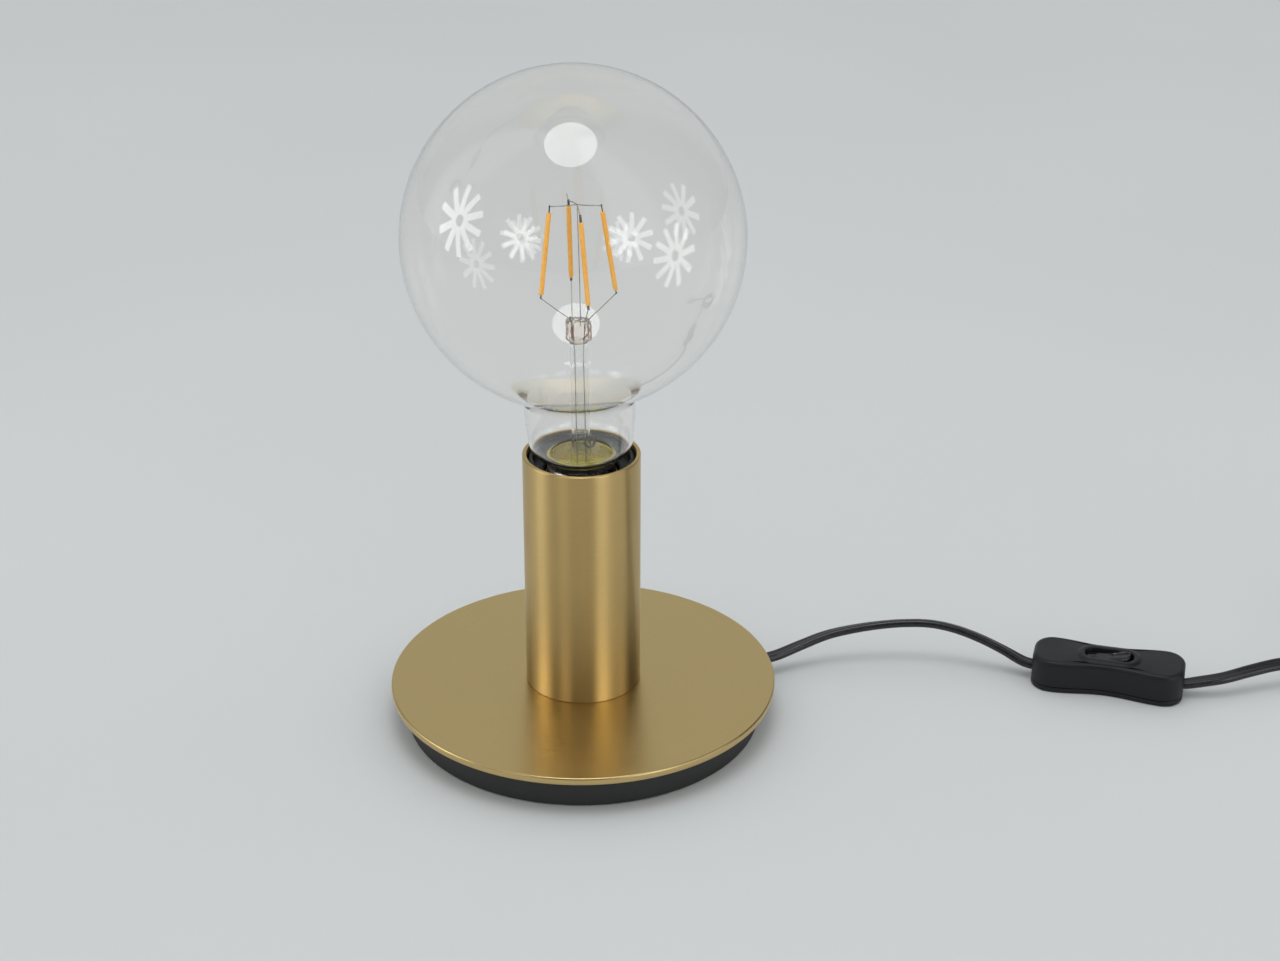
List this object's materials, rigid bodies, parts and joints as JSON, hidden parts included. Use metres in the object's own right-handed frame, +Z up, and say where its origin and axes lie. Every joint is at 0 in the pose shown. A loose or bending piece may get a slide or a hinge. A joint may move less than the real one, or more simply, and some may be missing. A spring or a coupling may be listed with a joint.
{
  "type": "bare bulb table lamp",
  "caption": "Table lamp with a clear globe bulb standing in a short brass tube on a round weighted foot, with a flat cord, an in-line rocker switch and a plug.",
  "frame": {"origin": "centre of the foot, on the table", "axes": "+Z up along the tube, -Y towards the viewer of the picture, +X to the viewer's right, the side the cord leaves on"},
  "size_m": [0.468, 0.187, 0.2591],
  "materials": {
    "brushed_brass": "satin, finely brushed",
    "black_paint": "fine matt powder coat",
    "foam": "soft matt foam",
    "cover_steel": "dark coated sheet",
    "zinc_steel": "bright zinc",
    "cast_weight": "raw casting",
    "holder_plastic": "moulded, slightly glossy",
    "ceramic": "pale moulded insulator",
    "contact_brass": "rolled sheet and turned bar",
    "copper": "bright copper sheet",
    "clear_glass": "clear blown glass",
    "support_wire": "drawn wire",
    "filament_coat": "amber silicone coat",
    "driver_cover": "yellow-green insulating disc",
    "circuit_board": "green laminate with parts",
    "cap_metal": "nickel-plated sheet",
    "cap_black": "black glassy insulator",
    "cord_sheath": "satin soft plastic",
    "brown_insulation": "satin",
    "blue_insulation": "satin",
    "relief_plastic": "soft moulded plastic",
    "switch_plastic": "fine satin moulding",
    "rocker_plastic": "polished moulding"
  },
  "bodies": {
    "base": {"top_plate": "brushed_brass", "column_tube": "brushed_brass", "foot_housing": "black_paint", "foot_pad": "foam", "bottom_cover": "cover_steel", "cover_screws": "zinc_steel", "clamping_rod": "zinc_steel", "rod_washers": "zinc_steel", "rod_nuts": "zinc_steel", "tube_bridge": "zinc_steel", "terminal_screws": "zinc_steel", "cord_clamp": "zinc_steel", "clamp_screws": "zinc_steel", "switch_screws": "zinc_steel", "rocker_pin": "zinc_steel", "ballast_weight": "cast_weight", "holder_lower_shell": "holder_plastic", "holder_upper_shell": "holder_plastic", "contact_block": "ceramic", "screw_shell": "contact_brass", "centre_contact": "contact_brass", "side_contact": "contact_brass", "holder_terminals": "contact_brass", "seesaw_post": "contact_brass", "switch_terminals": "contact_brass", "plug_pins": "contact_brass", "cord_inner": "cord_sheath", "cord_lead": "cord_sheath", "cord_tail": "cord_sheath", "cord_coil": "cord_sheath", "cord_plug_end": "cord_sheath", "brown_core": "brown_insulation", "line_cores": "brown_insulation", "blue_core": "blue_insulation", "neutral_core": "blue_insulation", "cord_relief": "relief_plastic", "plug_relief": "relief_plastic", "plug_body": "relief_plastic", "pin_sleeves": "relief_plastic", "coil_tie": "relief_plastic", "switch_lower_shell": "switch_plastic", "switch_upper_shell": "switch_plastic", "switch_grips": "switch_plastic"},
    "bulb_tip": {"cap_contact": "cap_metal"},
    "bulb": {"glass_envelope": "clear_glass", "glass_stem": "clear_glass", "lead_wires": "support_wire", "top_wires": "support_wire", "filament_1": "filament_coat", "filament_2": "filament_coat", "filament_3": "filament_coat", "filament_4": "filament_coat", "driver_cover": "driver_cover", "driver_board": "circuit_board", "cap_shell": "cap_metal", "cap_insulator": "cap_black"},
    "rocker": {"rocker": "rocker_plastic", "rocker_plunger": "contact_brass"},
    "seesaw": {"seesaw_contact": "copper"}
  },
  "joints": [
    {"name": "bulb_lift", "type": "slide", "parent": "base", "child": "bulb_tip", "axis": [0, 0, 1], "range_m": [0, 0.01815]},
    {"name": "bulb_turn", "type": "hinge", "parent": "bulb_tip", "child": "bulb", "pos_m": [0, 0, 0.0842], "axis": [0, 0, 1], "range_deg": [0, 1800]},
    {"name": "rocker_tilt", "type": "hinge", "parent": "base", "child": "rocker", "pos_m": [0.2102, 0.0195, 0.009], "axis": [0.2504, 0.9681, 0], "range_deg": [0, 16]},
    {"name": "contact_tilt", "type": "hinge", "parent": "base", "child": "seesaw", "pos_m": [0.2102, 0.0195, 0.0047], "axis": [0.2504, 0.9681, 0], "range_deg": [-12, 0]}
  ],
  "couplings": [
    {"joint": "bulb_lift", "follows": "bulb_turn", "m_per_rad": 0.0005775},
    {"joint": "contact_tilt", "follows": "rocker_tilt", "ratio": -0.75}
  ]
}
